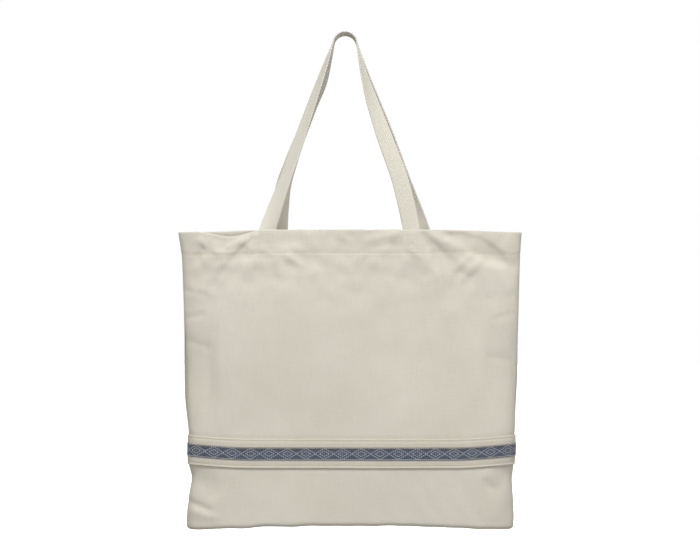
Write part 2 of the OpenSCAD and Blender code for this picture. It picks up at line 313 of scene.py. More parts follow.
def outline(drop, inset, front):
    """One panel's half of the bag's outline at a drop, in its own view: points, normals, places."""
    share = 1 - drop / BAG_H
    widths = [side_half_w(drop, w) for w in (LEFT_HALF_W, RIGHT_HALF_W)]
    near, far = widths if front else widths[::-1]
    half_d = BASE_HALF_D + (MOUTH_HALF_D - BASE_HALF_D) * max(share, 0) ** DEPTH_CURVE
    square = SQUARE_BASE + (SQUARE_RIM - SQUARE_BASE) * max(share, 0)
    turn = np.linspace(-math.pi / 2, math.pi / 2, 900)
    fine = np.stack([
        np.where(turn < 0, -near, far) * np.abs(np.sin(turn)) ** (2 / square),
        -half_d * np.cos(turn).clip(0) ** (2 / square),
    ], 1)
    along = np.concatenate([[0], np.cumsum(np.linalg.norm(np.diff(fine, axis=0), axis=1))])
    at = np.linspace(0, along[-1], COLS)
    line = np.stack([np.interp(at, along, fine[:, k]) for k in range(2)], 1)
    ahead = np.gradient(line, axis=0)
    ahead[0] = ahead[-1] = 0
    ahead[0, 1], ahead[-1, 1] = -1, 1
    normal = np.stack([ahead[:, 1], -ahead[:, 0]], 1)
    normal /= np.linalg.norm(normal, axis=1, keepdims=True)
    return line - inset * normal, normal, at - along[-1] / 2


def panel_grid(front, puckers):
    """Middle points of one panel's cloth, from the hem's inside edge, over the rim, down the wall and
    along the base to the bottom seam. Also its flat places and the first row of its outside.
    Without puckers it is the plain shape that the cloth is settled from."""
    layer = CANVAS / 2
    turned = 2 * layer + CANVAS + LAY
    roll = (turned - layer) / 2
    rows = [(HEM_H - k * HEM_H / HEM_ROWS, turned, 0.0, 0.0) for k in range(HEM_ROWS)]
    rows += [
        (0, layer + roll + roll * math.cos(a), roll * math.sin(a), 0.0)
        for a in np.linspace(0, math.pi, 7)[1:-1]
    ]
    first = len(rows)
    wall = BAG_H - FOLD_R
    rows += [(wall * k / WALL_ROWS, layer, 0.0, 0.0) for k in range(WALL_ROWS + 1)]
    inner_r = FOLD_R - layer
    for a in np.linspace(0, math.pi / 2, 6)[1:]:
        rows.append((wall, FOLD_R - inner_r * math.cos(a), -inner_r * math.sin(a), 0.0))
    rows += [(wall, FOLD_R, -inner_r, f) for f in np.linspace(0, 1, 18)[1:]]
    points, flats = [], []
    length = 0.0
    for drop, inset, lift, inward in rows:
        line, normal, at = outline(drop, inset, front)
        x, y = line[:, 0], line[:, 1] * (1 - inward)
        out, up = 0 * x, 0 * x
        if puckers is not None:
            out, up = drape(x, np.full(COLS, drop), front)
            r = drop / wall * WALL_ROWS
            r0 = min(int(r), WALL_ROWS - 1)
            out = out + puckers[r0] + (puckers[r0 + 1] - puckers[r0]) * (r - r0)
        out = out * (1 - inward)
        y = np.minimum(y + out * normal[:, 1], -layer)
        x = x + out * normal[:, 0]
        z = RIM_Z - drop + lift + up
        points.append(np.stack([x, y, z], 1))
        if len(points) > 1:
            length += float(np.linalg.norm(points[-1][COLS // 2] - points[-2][COLS // 2]))
        flats.append(np.stack([at, np.full(COLS, length)], 1))
    grid = np.array(points)
    return grid, np.array(flats), first


class Panel:
    """A panel's cloth, and the places on its outside that other pieces follow."""

    def __init__(self, front, puckers=None):
        self.front = front
        self.grid, self.flat, first = panel_grid(front, puckers)
        self.normals = grid_normals(self.grid)
        self.normals[first + WALL_ROWS + 6 :] = (0, 0, -1)
        self.outside = self.grid[first : first + WALL_ROWS + 1]
        self.outward = self.normals[first : first + WALL_ROWS + 1]

    def place(self, points):
        """From the panel's own view to the row frame."""
        if not self.front:
            points = points * np.array([-1, -1, 1])
        return points + np.array([MIDDLE_X, 0, 0])

    def turn(self, vectors):
        return vectors if self.front else vectors * np.array([-1, -1, 1])

    def at(self, across, drop, out):
        """Points and normals at across from -1 to 1 and a drop below the rim, out from the cloth."""
        r = np.clip(np.asarray(drop) / (BAG_H - FOLD_R), 0, 1) * WALL_ROWS
        c = (np.clip(np.asarray(across), -1, 1) + 1) / 2 * (COLS - 1)
        r, c = np.broadcast_arrays(r, c)
        r0, c0 = np.minimum(r.astype(int), WALL_ROWS - 1), np.minimum(c.astype(int), COLS - 2)
        fr, fc = (r - r0)[..., None], (c - c0)[..., None]

        def mix(field):
            top = field[r0, c0] * (1 - fc) + field[r0, c0 + 1] * fc
            low = field[r0 + 1, c0] * (1 - fc) + field[r0 + 1, c0 + 1] * fc
            return top * (1 - fr) + low * fr

        normal = mix(self.outward)
        normal = normal / np.linalg.norm(normal, axis=-1, keepdims=True)
        return self.place(mix(self.outside) + normal * np.asarray(out)[..., None]), self.turn(normal)

    def across_at(self, x, drop):
        """Where across the panel a place at x from its own middle is."""
        line = self.at(np.linspace(-1, 1, COLS), drop, 0.0)[0][:, 0] - MIDDLE_X
        line = line if self.front else -line
        return np.interp(x, line, np.linspace(-1, 1, COLS))


# ---------------------------------------------------------------- the settled cloth

SIM_STEP = 2  # every second row and column of the panels' grids
SIM_SCALE = 10  # the cloth is settled at ten times its size, where the solver is steady
SIM_FRAMES = 36
CLOTH_SETTINGS = {
    "quality": 6,
    "mass": 0.25,
    "tension_stiffness": 60,
    "compression_stiffness": 60,
    "shear_stiffness": 20,
    "bending_stiffness": 1.2,
    "tension_damping": 25,
    "compression_damping": 25,
    "shear_damping": 25,
    "bending_damping": 1.0,
    "vertex_group_mass": "held",
    "vertex_group_shrink": "pulled",
    "shrink_min": 0.0,
    "shrink_max": 0.09,
}
BASE_HOLD = 0.6
PULL_REACH = 4 * MM
# Where the cloth is drawn in: the drop below the rim, and how strongly
PULLS = (
    (HEM_H - STITCH_IN, 1.0),
    (RIM_Z - BAND_HIGH.z, 0.45),
    (RIM_Z - BAND_LOW.z, 0.45),
    (0, 0.7),
)
BROAD_REACH = 9  # moves broader than this many points are left out
PUCKER_MAX = 1.3 * MM
WALL_FADE = 0.82  # how much weaker the puckers are below the hem
SIDE_FADE = 5  # points from a side seam to where the puckers have their full depth


def blurred(field, reach):
    """A field smoothed over a reach of points along both its axes."""
    weights = np.hanning(2 * reach + 1)
    weights /= weights.sum()
    for axis in (0, 1):
        pad = [(reach, reach) if k == axis else (0, 0) for k in range(field.ndim)]
        wide = np.pad(field, pad, mode="edge")
        field = sum(
            w * np.take(wide, range(k, k + field.shape[axis]), axis=axis) for k, w in enumerate(weights)
        )
    return field


def settling_tube(front, back, pick):
    """Both panels as one tube, sewn at its sides: its points at the settling scale, its faces, and
    where each panel's points are among them."""
    start_front = front.place(front.outside[pick])
    start_back = back.place(back.outside[pick])
    r, c = start_front.shape[:2]
    index_front = np.arange(r * c).reshape(r, c)
    inner = r * c + np.arange(r * (c - 2)).reshape(r, c - 2)
    index_back = np.concatenate([index_front[:, -1:], inner, index_front[:, :1]], axis=1)
    points = np.concatenate([start_front.reshape(-1, 3), start_back[:, 1:-1].reshape(-1, 3)])
    faces = [
        np.stack([i[:-1, :-1], i[1:, :-1], i[1:, 1:], i[:-1, 1:]], -1).reshape(-1, 4)
        for i in (index_front, index_back)
    ]
    return points * SIM_SCALE, np.concatenate(faces).tolist(), (index_front, index_back)


def held_and_pulled(points):
    """How firmly the handles and the base hold each point, and how far its cloth is drawn in."""
    drop = RIM_Z - points[:, 2] / SIM_SCALE
    held = np.zeros(len(points))
    for x, side in [(x, -1) for x in LEG_X] + [(-x, 1) for x in LEG_X]:
        near = (np.abs(points[:, 0] / SIM_SCALE - x) < WEB_W / 2) & (points[:, 1] * side > 0)
        held[near & (drop < TAIL_L)] = 1.0
    held[drop > BAG_H - FOLD_R - 3 * MM] = BASE_HOLD
    pulled = np.zeros(len(points))
    for level, pull in PULLS:
        pulled = np.maximum(pulled, pull * np.exp(-(((drop - level) / PULL_REACH) ** 2)))
    return {"held": held, "pulled": pulled}


def settled_moves(points, faces, weights):
    """How far each point of the tube has moved when it hangs still, in metres."""
    tube = mesh_object("settling", points, faces)
    for name, weight in weights.items():
        group = tube.vertex_groups.new(name=name)
        for k in np.flatnonzero(weight > 0.02):
            group.add([int(k)], float(weight[k]), "REPLACE")
    cloth = tube.modifiers.new("cloth", "CLOTH")
    for name, value in CLOTH_SETTINGS.items():
        setattr(cloth.settings, name, value)
    cloth.collision_settings.use_collision = False
    cloth.point_cache.frame_start = 1
    cloth.point_cache.frame_end = SIM_FRAMES
    scene = bpy.context.scene
    for f in range(1, SIM_FRAMES + 1):
        scene.frame_set(f)
    settled = tube.evaluated_get(bpy.context.evaluated_depsgraph_get()).data
    ends = np.zeros(len(points) * 3)
    settled.vertices.foreach_get("co", ends)
    bpy.data.objects.remove(tube)
    scene.frame_set(1)
    return (ends.reshape(-1, 3) - points) / SIM_SCALE


def pucker_field(out, rows, cols):
    """One panel's puckers at all its points: its moves outwards without the broad ones, capped, and
    faded below the hem and towards the side seams."""
    out = out - blurred(out, BROAD_REACH)
    out = PUCKER_MAX * np.tanh(out / PUCKER_MAX)
    below_hem = smooth((np.array(rows) / WALL_ROWS * BAG_H - 0.03) / 0.06)
    out = out * (1 - WALL_FADE * below_hem)[:, None]
    side = np.minimum(np.arange(len(cols)), np.arange(len(cols))[::-1]) / SIDE_FADE
    out = out * smooth(side)[None]
    wide = np.array([np.interp(np.arange(COLS), list(cols), line) for line in out])
    full = [np.interp(np.arange(WALL_ROWS + 1), list(rows), wide[:, k]) for k in range(COLS)]
    return blurred(np.array(full).T, 2)


def settle(front, back):
    """How far the settled cloth puckers outwards on each panel, when both hang as one thin tube that
    is held at its handles and pulled in along its rows of stitches."""
    rows, cols = range(0, WALL_ROWS + 1, SIM_STEP), range(0, COLS, SIM_STEP)
    pick = np.ix_(rows, cols)
    points, faces, indices = settling_tube(front, back, pick)
    moved = settled_moves(points, faces, held_and_pulled(points))
    return [
        pucker_field((moved[index] * panel.turn(panel.outward[pick])).sum(axis=2), rows, cols)
        for panel, index in zip((front, back), indices)
    ]


def make_panels():
    flat = np.zeros((WALL_ROWS + 1, COLS))
    fields = [flat, flat]
    fields = settle(Panel(True), Panel(False))
    return {"front": Panel(True, fields[0]), "back": Panel(False, fields[1])}


PANELS = make_panels()


def make_panel(side):
    panel = PANELS[side]
    grid, normals = panel.place(panel.grid), panel.turn(panel.normals)
    obj = slab(f"{side}_panel_cloth", grid, normals, CANVAS, panel.flat)
    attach(obj, "bag")
    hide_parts(f"{side}_panel")
    return obj


# ---------------------------------------------------------------- band and ribbon

STRIP_COLS = 300
BAND_T = 1.2 * MM
RIBBON_T = 0.7 * MM
CLOTH_TO_BAND = CANVAS / 2 + LAY
EDGE_ROLL = 0.75 * MM  # how far the band stands up outside each row of its stitches
BAND_PUFF = 0.35 * MM  # how far it stands up between the two rows
RIBBON_SINK = 0.12 * MM  # how far the ribbon is drawn in along its stitches
RIBBON_TOP = CLOTH_TO_BAND + BAND_T + BAND_PUFF + LAY + RIBBON_T - RIBBON_SINK


def strip(side, name, high, low, rows, out, thickness):
    """A strip across a panel between two levels, where out gives its middle's height on the cloth."""
    panel = PANELS[side]
    v = np.linspace(0, 1, rows)[:, None]
    drop = (RIM_Z - high) + v * (high - low)
    across = np.linspace(-1, 1, STRIP_COLS)[None, :]
    height = np.broadcast_to(out(drop - (RIM_Z - high), (high - low)), (rows, STRIP_COLS))
    grid, normals = panel.at(across, drop, height)
    steps = np.linalg.norm(np.diff(grid[rows // 2], axis=0), axis=1)
    along = np.concatenate([[0], np.cumsum(steps)])
    along = np.broadcast_to(along - along[-1] / 2, (rows, STRIP_COLS))
    flat = np.stack([along, np.broadcast_to(drop + high - RIM_Z - (high - low) / 2, along.shape)], 2)
    obj = slab(name, grid, normals, thickness, flat)
    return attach(obj, "bag")


def band_height(down, width):
    """The folded band stands up in a roll outside each row of stitches, and is drawn in at the row."""
    edge = np.minimum(down, width - down)
    roll = EDGE_ROLL * np.sin(np.clip(edge / STITCH_IN, 0, 1) * math.pi)
    puff = BAND_PUFF * smooth((edge - STITCH_IN) / (4 * MM))
    return CLOTH_TO_BAND + BAND_T / 2 + roll + puff


def ribbon_height(down, width):
    """The ribbon lies on the band, and is drawn in at its rows of stitches."""
    edge = np.minimum(down, width - down)
    drawn_in = RIBBON_SINK * hump(edge, RIBBON_STITCH_IN, 1 * MM)
    return CLOTH_TO_BAND + BAND_T + BAND_PUFF + LAY + RIBBON_T / 2 - drawn_in


def make_band(side):
    obj = strip(side, f"{side}_band_cloth", BAND_HIGH.z, BAND_LOW.z, 57, band_height, BAND_T)
    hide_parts(f"{side}_band")
    return obj


def make_ribbon(side):
    obj = strip(side, f"{side}_ribbon_cloth", RIBBON_HIGH.z, RIBBON_LOW.z, 13, ribbon_height, RIBBON_T)
    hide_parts(f"{side}_ribbon")
    return obj


# ---------------------------------------------------------------- stitching

STITCH = 3.0 * MM  # from one stitch to the next
STITCH_GAP = 0.5 * MM
THREAD_R = 0.32 * MM
STITCH_STEPS = 5
ROW_ENDS = 0.985  # how far across the panel a row of stitches reaches


def stitched(name, path):
    """Separate stitches along a path, a function from distances to points and normals."""
    total, at = path
    count = max(2, int(total / STITCH))
    start = np.arange(count)[:, None] * total / count
    t = np.linspace(0, 1, STITCH_STEPS)[None, :]
    points, normals = at(start + t * (total / count - STITCH_GAP))
    sink = 1.4 * THREAD_R * (np.abs(t * 2 - 1) ** 3)
    points = points + normals * (0.5 * THREAD_R - sink)[..., None]
    return tubes(name, points, normals, THREAD_R)


def row_path(side, level, out):
    """A row of stitches across a panel at a level, out from its cloth."""
    panel = PANELS[side]
    places = np.linspace(-ROW_ENDS, ROW_ENDS, 400)
    line = panel.at(places, RIM_Z - level, out)[0]
    along = np.concatenate([[0], np.cumsum(np.linalg.norm(np.diff(line, axis=0), axis=1))])

    def at(distance):
        across = np.interp(distance, along, places)
        return panel.at(across, RIM_Z - level, np.full(across.shape, out))

    return along[-1], at


def joined(name, parts):
    """One or more meshes as one object."""
    if len(parts) > 1:
        with bpy.context.temp_override(
            active_object=parts[0], object=parts[0], selected_objects=parts, selected_editable_objects=parts
        ):
            bpy.ops.object.join()
    parts[0].name = name
    return parts[0]


def make_rows(side, kind, levels, out):
    parts = [stitched(f"{side}_{kind}_row{k}", row_path(side, z, out)) for k, z in enumerate(levels)]
    obj = joined(f"{side}_{kind}_stitches", parts)
    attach(obj, "bag")
    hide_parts(f"{side}_{kind}_stitching")
    return obj


def box_corners(size):
    """The box and its cross, as the needle goes round them, from its lower left corner."""
    a = size / 2
    return [(-a, -a), (a, -a), (a, a), (-a, a), (-a, -a), (a, a), (a, -a), (-a, a)]


def make_box_stitches(side, hand):
    """The box and cross that hold one end of a handle, on the outside of the hem."""
    panel = PANELS[side]
    name = f"{side}_{hand}_box"
    low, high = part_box(f"{name}_stitching")
    size = high.z - low.z
    x = (low.x + high.x) / 2 - MIDDLE_X
    x = x if panel.front else -x
    drop = RIM_Z - (low.z + high.z) / 2
    corners = np.array(box_corners(size))
    along = np.concatenate([[0], np.cumsum(np.linalg.norm(np.diff(corners, axis=0), axis=1))])

    def at(distance):
        px = x + np.interp(distance, along, corners[:, 0])
        pd = drop - np.interp(distance, along, corners[:, 1])
        across = panel.across_at(px, drop)
        return panel.at(across, pd, np.full(across.shape, CANVAS / 2))

    obj = stitched(f"{name}_stitches", (along[-1], at))
    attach(obj, "bag")
    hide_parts(f"{name}_stitching")
    return obj


# ---------------------------------------------------------------- handles

FOOT_SHARE = 0.15  # share of a leg, at its foot, where the webbing squares up to the rim
HOOK_R = 16 * MM
ARCH_R = HANDLE_HIGH.z + HOOK_R - WEB_T / 2
LEG_STEPS, ARCH_STEPS, TAIL_STEPS = 90, 34, 10

# How each leg hangs, from the arch down: places along it from 0 to 1, the webbing's turn there in
# degrees, where 90 is edge-on, and how far it bows outwards in millimetres
LEG_SHAPES = {
    "front_outer": (
        [0, 0.12, 0.3, 0.5, 0.75, 0.87, 0.95, 1],
        [90, 74, 62, 52, 46, 34, 16, 0],
        [0, 0, 0, 0, 0, 0.5, 0.5, 0],
    ),
    "front_inner": (
        [0, 0.15, 0.3, 0.5, 0.72, 0.9, 1],
        [90, 72, 48, 24, 12, 6, 0],
        [0, -3, -3, 0, 5, 3, 0],
    ),
    "back_outer": (
        [0, 0.15, 0.3, 0.5, 0.75, 0.87, 0.95, 1],
        [90, 84, 72, 54, 44, 30, 14, 0],
        [0, 0, 0, 0, 0, 0, 0, 0],
    ),
    "back_inner": (
        [0, 0.12, 0.22, 0.32, 0.55, 0.75, 0.92, 1],
        [90, 80, 74, 68, 54, 32, 6, 0],
        [0, -2, -3, 3, 11, 14, 6, 0],
    ),
}


def leg_points(side, handle):
    """Middle points, width directions and face directions of the webbing's rings down one leg."""
    centre = np.array([0, WEB_T / 2 - ARCH_R])
    foot = np.array([LEG_X[side], RIM_Z])
    away = foot - centre
    opening = math.acos(ARCH_R / np.linalg.norm(away))
    bearing = math.atan2(away[1], away[0])
    angle = bearing - opening + 2 * math.pi if side == 0 else bearing + opening
    top = centre + ARCH_R * np.array([math.cos(angle), math.sin(angle)])
    shares, turns, bows = LEG_SHAPES[f"{handle}_{'outer' if side == 0 else 'inner'}"]
    outwards = -1 if side == 0 else 1
    rings = []
    for u in np.linspace(0, 1, LEG_STEPS):
        near = np.clip(u + np.linspace(-0.05, 0.05, 11), 0, 1)
        ease = smooth(u / 0.05) * smooth((1 - u) / 0.05)
        turn = np.interp(near, shares, turns).mean() * ease + np.interp(u, shares, turns) * (1 - ease)
        bow = np.interp(near, shares, bows).mean() * ease + np.interp(u, shares, bows) * (1 - ease)
        p = top + (foot - top) * u + np.array([outwards * bow * MM, 0])
        b = angle + ((math.pi if side == 0 else 0) - angle) * smooth((u - 1 + FOOT_SHARE) / FOOT_SHARE)
        rings.append(web_ring(p, u, math.radians(turn), b))
    return rings, angle


def web_ring(p, u, turn, b):
    out = np.array([math.cos(b), 0, math.sin(b)])
    y = np.array([0.0, 1.0, 0.0])
    wide = out * math.cos(turn) + y * math.sin(turn)
    face = out * math.sin(turn) - y * math.cos(turn)
    depth = ARCH_Y + (-WEB_Y - ARCH_Y) * u
    return np.array([p[0], depth, p[1]]), wide, face


def handle_rings(handle):
    """The whole length of one handle's webbing, from one sewn end to the other."""
    left, start = leg_points(0, handle)
    right, end = leg_points(1, handle)
    centre = np.array([0, WEB_T / 2 - ARCH_R])
    arch = []
    for a in np.linspace(start, end, ARCH_STEPS)[1:-1]:
        p = centre + ARCH_R * np.array([math.cos(a), math.sin(a)])
        arch.append(web_ring(p, 0.0, math.pi / 2, a))

    def tail(ring):
        middle, wide, face = ring
        return [
            (middle - np.array([0, 0, TAIL_L * k / TAIL_STEPS]), wide, face)
            for k in range(TAIL_STEPS, 0, -1)
        ]

    return tail(left[-1]) + left[::-1] + arch + right + tail(right[-1])[::-1]


def web_section():
    """The webbing's section as (across, up) in metres: flat faces and rounded selvedges."""
    half_w, half_t = WEB_W / 2, WEB_T / 2
    across = np.linspace(-1, 1, 11) * (half_w - half_t)
    top = [(x, half_t) for x in across]
    bottom = [(x, -half_t) for x in across[::-1]]
    turns = [math.pi / 3, 0, -math.pi / 3]
    right = [(half_w - half_t + half_t * math.cos(a), half_t * math.sin(a)) for a in turns]
    left = [(-x, -y) for x, y in right]
    return np.array(top + right + bottom + left)


def make_handle(side):
    """One handle: webbing that bends over the hem's edge down to its sewn ends."""
    rings = handle_rings(side)
    section = web_section()
    middles = np.array([r[0] for r in rings])
    wides = np.array([r[1] for r in rings])
    faces = np.array([r[2] for r in rings])
    points = (
        middles[:, None] + wides[:, None] * section[None, :, :1] + faces[:, None] * section[None, :, 1:]
    )
    count, sides = points.shape[:2]
    along = np.concatenate([[0], np.cumsum(np.linalg.norm(np.diff(middles, axis=0), axis=1))])
    cloth = np.zeros((count, sides, 3))
    cloth[..., 0] = section[None, :, 0]
    cloth[..., 1] = along[:, None]
    cloth[..., 2] = section[None, :, 1]
    index = np.arange(count * sides).reshape(count, sides)
    a, b = index[:-1], np.roll(index[:-1], -1, axis=1)
    c, d = np.roll(index[1:], -1, axis=1), index[1:]
    walls = np.stack([a, b, c, d], -1).reshape(-1, 4).tolist()
    caps = [index[0, ::-1].tolist(), index[-1].tolist()]
    if side == "back":
        points = points * np.array([-1, -1, 1])
    obj = mesh_object(f"{side}_handle_webbing", points.reshape(-1, 3), walls + caps, cloth.reshape(-1, 3))
    body = f"{side}_handle"
    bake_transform(obj)
    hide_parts(body, f"{side}_left_handle_end", f"{side}_right_handle_end")
    return obj


# ---------------------------------------------------------------- seams inside the bag

SEAMS = (("side", "left"), ("side", "right"), ("bottom", ""), ("corner", "left"), ("corner", "right"))
SEAM_SWAY = 0.35 * MM
SWAY_LENGTH = 11 * MM
LOOP_PITCH = 2.2 * MM  # from one loop of overlock thread to the next
LOOP_REACH = 2.2 * MM  # half of a loop's length down from the seam's edge
LOOP_CLEAR = 0.25 * MM
LOOP_STEPS = 14
LOOP_R = 0.26 * MM


def seam_line(kind, hand):
    """The seam's rows: points where it leaves the cloth and the direction of its free edge."""
    sign = {"left": -1, "right": 1, "": 0}[hand]
    floor = BASE_Z + CANVAS + LAY
    if kind == "side":
        low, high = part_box(f"{hand}_side_seam")
        z = np.linspace(low.z, high.z, 150)
        edge = side_half_w(RIM_Z - z, LEFT_HALF_W if sign < 0 else RIGHT_HALF_W) - CANVAS - 2 * LAY
        line = np.stack([MIDDLE_X + sign * edge, 0 * z, z], 1)
        return line, np.array([-sign, 0, 0.0]), np.array([0, 1.0, 0])
    if kind == "bottom":
        low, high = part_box("bottom_seam")
        x = np.linspace(low.x, high.x, 160)
        lift = drape(x - MIDDLE_X, np.full(x.shape, BAG_H), True)[1]
        line = np.stack([x, 0 * x, floor + lift], 1)
        return line, np.array([0, 0, 1.0]), np.array([0, 1.0, 0])
    low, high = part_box(f"{hand}_corner_seam")
    y = np.linspace(low.y, high.y, 24)
    line = np.stack([np.full(y.shape, (low.x + high.x) / 2), y, np.full(y.shape, floor)], 1)
    return line, np.array([0, 0, 1.0]), np.array([1.0, 0, 0])


def seam_sway(along):
    """How far a seam's free edge sways to its sides."""
    return SEAM_SWAY * np.sin(along / SWAY_LENGTH)


def make_seam_cloth(name, line, along, free, flat_side):
    v = np.linspace(0, 1, 8)[:, None]
    sway = seam_sway(along) * v**2
    grid = line[None] + (free * SEAM_W)[None, None] * v[..., None] + flat_side * sway[..., None]
    flat = np.stack([np.broadcast_to(along, sway.shape), np.broadcast_to(v * SEAM_W, sway.shape)], 2)
    normals = np.broadcast_to(flat_side, grid.shape)
    cloth = slab(f"{name}_seam_cloth", grid, normals, 2 * CANVAS - 0.1 * MM, flat)
    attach(cloth, "bag")
    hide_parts(f"{name}_seam")
    return cloth


def make_overlock(name, line, along, free, flat_side):
    """Thread that loops round the seam's free edge all along it."""
    loops = int(along[-1] / LOOP_PITCH)
    t = np.linspace(0, loops, loops * LOOP_STEPS)
    distance = np.interp(t, [0, loops], [0.5 * MM, along[-1] - 0.5 * MM])
    base = np.stack([np.interp(distance, along, line[:, k]) for k in range(3)], 1)
    turn = 2 * math.pi * t
    half_t = CANVAS + LOOP_CLEAR
    depth = SEAM_W - LOOP_REACH + (LOOP_REACH + LOOP_CLEAR) * np.cos(turn)
    across = half_t * np.sin(turn) + seam_sway(distance)
    thread = base + free * depth[:, None] + flat_side * across[:, None]
    radial = free * np.cos(turn)[:, None] + flat_side * np.sin(turn)[:, None]
    lock = tubes(f"{name}_overlock_thread", thread[None], radial[None], LOOP_R, sides=5)
    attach(lock, "bag")
    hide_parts(f"{name}_overlock")
    return lock


def make_seam(kind, hand):
    """The two panels' edges, and the overlock thread that binds them."""
    line, free, flat_side = seam_line(kind, hand)
    name = f"{hand}_{kind}".lstrip("_")
    steps = np.linalg.norm(np.diff(line, axis=0), axis=1)
    along = np.concatenate([[0], np.cumsum(steps)])
    seam = (name, line, along, free, flat_side)
    return make_seam_cloth(*seam), make_overlock(*seam)


# ---------------------------------------------------------------- materials

class Shader:
    """A Principled material and short ways to add nodes to it."""

    def __init__(self, name, roughness, sheen):
        self.material = bpy.data.materials.new(name)
        self.material.use_nodes = True
        self.tree = self.material.node_tree
        self.surface = self.tree.nodes["Principled BSDF"]
        self.surface.inputs["Roughness"].default_value = roughness
        self.surface.inputs["Sheen Weight"].default_value = sheen
        self.surface.inputs["Sheen Roughness"].default_value = 0.5
        self.surface.inputs["Specular IOR Level"].default_value = 0.25
        place = self.node("ShaderNodeAttribute")
        place.attribute_name = "cloth"
        self.place = place.outputs["Vector"]
        split = self.node("ShaderNodeSeparateXYZ", Vector=self.place)
        self.x, self.y = split.outputs[0], split.outputs[1]
        self.object = self.node("ShaderNodeTexCoord").outputs["Object"]

    def node(self, kind, **inputs):
        made = self.tree.nodes.new(kind)
        for key, value in inputs.items():
            self.join(made.inputs[key.replace("_", " ")], value)
        return made

    def join(self, socket, value):
        if isinstance(value, bpy.types.NodeSocket):
            self.tree.links.new(value, socket)
        else:
            socket.default_value = value

    def math(self, operation, a, b=0.0, c=0.0):
        made = self.tree.nodes.new("ShaderNodeMath")
        made.operation = operation
        for socket, value in zip(made.inputs, (a, b, c)):
            self.join(socket, value)
        return made.outputs[0]

    def wave(self, value, length, phase=0.0):
        """A sine of a place on the cloth, from -1 to 1."""
        return self.math("SINE", self.math("MULTIPLY_ADD", value, 2 * math.pi / length, phase))

    def noise(self, vector, scale, detail, stretch=(1, 1, 1)):
        mapped = self.node("ShaderNodeMapping", Vector=vector, Scale=stretch).outputs[0]
        made = self.node("ShaderNodeTexNoise", Vector=mapped, Scale=scale, Detail=detail)
        return made.outputs["Fac"]

    def range(self, value, low, high, to_low=0.0, to_high=1.0):
        made = self.node("ShaderNodeMapRange", Value=value, From_Min=low, From_Max=high)
        self.join(made.inputs["To Min"], to_low)
        self.join(made.inputs["To Max"], to_high)
        return made.outputs[0]

    def mix(self, fac, a, b):
        made = self.tree.nodes.new("ShaderNodeMix")
        made.data_type = "RGBA"
        for key, value in (("Factor_Float", fac), ("A_Color", a), ("B_Color", b)):
            socket = next(s for s in made.inputs if s.identifier == key)
            self.join(socket, value)
        return next(s for s in made.outputs if s.identifier == "Result_Color")

    def finish(self, color, height, distance, strength):
        self.join(self.surface.inputs["Base Color"], color)
        bump = self.node("ShaderNodeBump", Height=height, Distance=distance, Strength=strength)
        self.join(self.surface.inputs["Normal"], bump.outputs[0])
        return self.material


def rgb(r, g, b):
    """A colour given in sRGB from 0 to 255, as the linear colour that shaders take."""
    def linear(c):
        c /= 255
        return c / 12.92 if c <= 0.04045 else ((c + 0.055) / 1.055) ** 2.4
    return (linear(r), linear(g), linear(b), 1.0)


def plain_weave(s, pitch):
    """Height of a plain weave of threads that cross over and under, from about 0 to 1."""
    over = s.math("MULTIPLY", s.wave(s.x, 2 * pitch), s.wave(s.y, 2 * pitch))
    warp = s.math("ABSOLUTE", s.wave(s.x, 2 * pitch, math.pi / 2))
    weft = s.math("ABSOLUTE", s.wave(s.y, 2 * pitch, math.pi / 2))
    grooves = s.math("MULTIPLY", warp, weft)
    return s.math("ADD", s.math("MULTIPLY_ADD", over, 0.35, 0.35), s.math("MULTIPLY", grooves, -0.3))


def canvas_material(name, light, dark):
    """Natural cotton canvas: plain weave, thick and thin threads, and faint uneven colour."""
    s = Shader(name, roughness=0.92, sheen=0.08)
    weave = plain_weave(s, 0.62 * MM)
    slub = s.math(
        "ADD",
        s.noise(s.place, 260, 1.0, (0.12, 4.5, 1)),
        s.noise(s.place, 260, 1.0, (4.5, 0.12, 1)),
    )
    cloud = s.noise(s.object, 9, 3.0)
    tone = s.math("MULTIPLY_ADD", s.range(slub, 0.7, 1.3, -1, 1), 0.22, s.range(cloud, 0.1, 0.9))
    tone = s.math("MULTIPLY_ADD", weave, 0.25, tone)
    color = s.mix(s.range(tone, -0.1, 1.3), dark, light)
    fleck = s.range(s.noise(s.place, 420, 0.0), 0.77, 0.8)
    color = s.mix(s.math("MULTIPLY", fleck, 0.25), color, rgb(150, 132, 104))
    height = s.math("MULTIPLY_ADD", slub, 0.5, weave)
    return s.finish(color, height, 0.22 * MM, 0.55)


def webbing_material():
    """Cotton webbing with a coarse basket of yarns."""
    s = Shader("natural_webbing", roughness=0.9, sheen=0.2)
    dots = s.math("MULTIPLY", s.wave(s.x, 4.4 * MM), s.wave(s.y, 4.2 * MM))
    rib = s.math("ABSOLUTE", s.wave(s.y, 2.1 * MM))
    height = s.math("ADD", s.math("MULTIPLY_ADD", dots, 0.5, 0.5), s.math("MULTIPLY", rib, 0.3))
    fuzz = s.noise(s.place, 900, 2.0)
    tone = s.math("MULTIPLY_ADD", fuzz, 0.6, s.math("MULTIPLY", height, 0.55))
    color = s.mix(s.range(tone, 0.2, 1.1), rgb(198, 193, 178), rgb(224, 220, 208))
    return s.finish(color, s.math("MULTIPLY_ADD", fuzz, 0.3, height), 0.4 * MM, 0.6)


